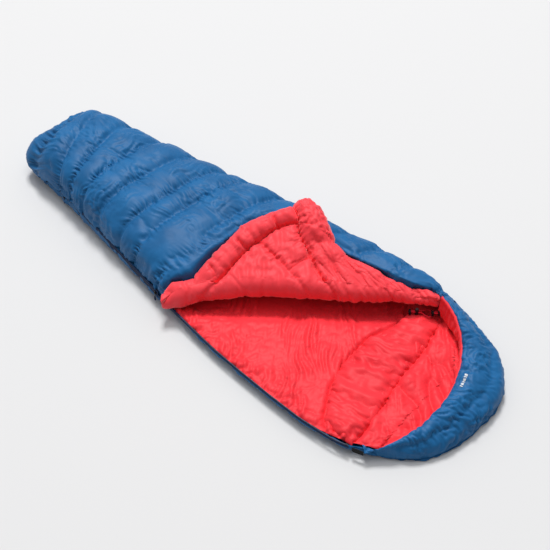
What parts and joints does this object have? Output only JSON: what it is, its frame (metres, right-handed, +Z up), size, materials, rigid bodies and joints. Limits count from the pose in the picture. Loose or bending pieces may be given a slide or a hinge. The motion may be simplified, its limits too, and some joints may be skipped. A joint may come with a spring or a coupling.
{
  "type": "mummy sleeping bag",
  "caption": "Down-filled mummy sleeping bag, tapered to the foot, with a hood, a side zip and its upper quilt folded back to show the lining.",
  "frame": {"origin": "centre of the bag's footprint, on the floor that it lies on", "axes": "+X from the foot to the head, +Y to the closed side, +Z up from the floor"},
  "size_m": [2.1249, 0.7373, 0.2659],
  "materials": {
    "shell_fabric": "thin mid-blue nylon with a soft sheen",
    "lining_fabric": "thin coral-red nylon, matt",
    "down": "loose white down",
    "mesh": "fine white mesh",
    "zip_tape": "woven dark blue tape",
    "zip_coil": "dark blue nylon coil",
    "zip_stop": "black moulding",
    "slider_metal": "black satin",
    "pull_tab": "dark blue moulded grip",
    "black_tape": "black woven tape",
    "hook_patch": "black hook tape",
    "lock_plastic": "black satin",
    "button_plastic": "dark grey satin",
    "spring_steel": "bright drawn wire",
    "cord": "red braided cord",
    "label": "pale woven label"
  },
  "bodies": {
    "root": {"base_baffles": "mesh", "base_fill": "down", "base_liner": "lining_fabric", "base_shell": "shell_fabric", "base_zip_coil": "zip_coil", "base_zip_tape": "zip_tape", "care_label": "label", "collar_cord": "cord", "collar_cord_exit": "black_tape", "fold_roll": "lining_fabric", "foot_fill": "down", "foot_liner": "lining_fabric", "foot_shell": "shell_fabric", "foot_stop": "zip_stop", "head_stop": "zip_stop", "hood_cord": "cord", "hood_cord_exit": "black_tape", "hood_fill": "down", "hood_hem": "lining_fabric", "hood_liner": "lining_fabric", "hood_shell": "shell_fabric", "hook_patch": "hook_patch", "lower_collar": "lining_fabric", "top_baffles": "mesh", "top_fill": "down", "top_liner": "lining_fabric", "top_shell": "shell_fabric", "top_zip_coil": "zip_coil", "top_zip_tape": "zip_tape"},
    "flap": {"flap_shell": "shell_fabric", "flap_fill": "down", "flap_liner": "lining_fabric", "draft_tube": "lining_fabric", "upper_collar": "lining_fabric", "flap_zip_tape": "zip_tape", "flap_zip_coil": "zip_coil"},
    "top_slider": {"top_slider": "slider_metal"},
    "top_pull": {"top_pull": "slider_metal", "top_pull_tab": "pull_tab"},
    "foot_slider": {"foot_slider": "slider_metal"},
    "foot_pull": {"foot_pull": "slider_metal", "foot_pull_tab": "pull_tab"},
    "collar_lock": {"collar_lock_barrel": "lock_plastic", "collar_lock_spring": "spring_steel"},
    "collar_plunger": {"collar_lock_plunger": "button_plastic"},
    "hood_lock": {"hood_lock_barrel": "lock_plastic", "hood_lock_spring": "spring_steel"},
    "hood_plunger": {"hood_lock_plunger": "button_plastic"},
    "guard_tab": {"guard_tab": "black_tape"}
  },
  "joints": [
    {"name": "flap_fold", "type": "hinge", "parent": "root", "child": "flap", "pos_m": [-0.147, -0.2585, 0.092], "axis": [0.7903, 0.6119, 0.03], "range_deg": [0, 150], "deforming": ["fold_roll"]},
    {"name": "top_slider_travel", "type": "slide", "parent": "root", "child": "top_slider", "axis": [0.978, -0.2087, 0], "range_m": [-0.3, 0]},
    {"name": "top_pull_swing", "type": "hinge", "parent": "top_slider", "child": "top_pull", "pos_m": [-0.19995, -0.28217, 0.052], "axis": [-0.978, 0.2087, 0], "range_deg": [0, 110]},
    {"name": "foot_slider_travel", "type": "slide", "parent": "root", "child": "foot_slider", "axis": [0.978, -0.2087, 0], "range_m": [0, 0.3]},
    {"name": "foot_pull_swing", "type": "hinge", "parent": "foot_slider", "child": "foot_pull", "pos_m": [-0.81998, -0.14983, 0.052], "axis": [-0.978, 0.2087, 0], "range_deg": [0, 110]},
    {"name": "collar_lock_travel", "type": "slide", "parent": "root", "child": "collar_lock", "axis": [0.766, 0.6428, 0], "range_m": [-0.011, 0]},
    {"name": "collar_lock_press", "type": "slide", "parent": "collar_lock", "child": "collar_plunger", "axis": [0, 0, -1], "range_m": [0, 0.003], "stiffness_N_per_m": 400, "deforming": ["collar_lock_spring"]},
    {"name": "hood_lock_travel", "type": "slide", "parent": "root", "child": "hood_lock", "axis": [0.766, 0.6428, 0], "range_m": [-0.011, 0]},
    {"name": "hood_lock_press", "type": "slide", "parent": "hood_lock", "child": "hood_plunger", "axis": [0, 0, -1], "range_m": [0, 0.003], "stiffness_N_per_m": 400, "deforming": ["hood_lock_spring"]},
    {"name": "guard_tab_fold", "type": "hinge", "parent": "root", "child": "guard_tab", "pos_m": [0.80063, -0.34147, 0.038], "axis": [0, 0, 1], "range_deg": [0, 120]}
  ]
}
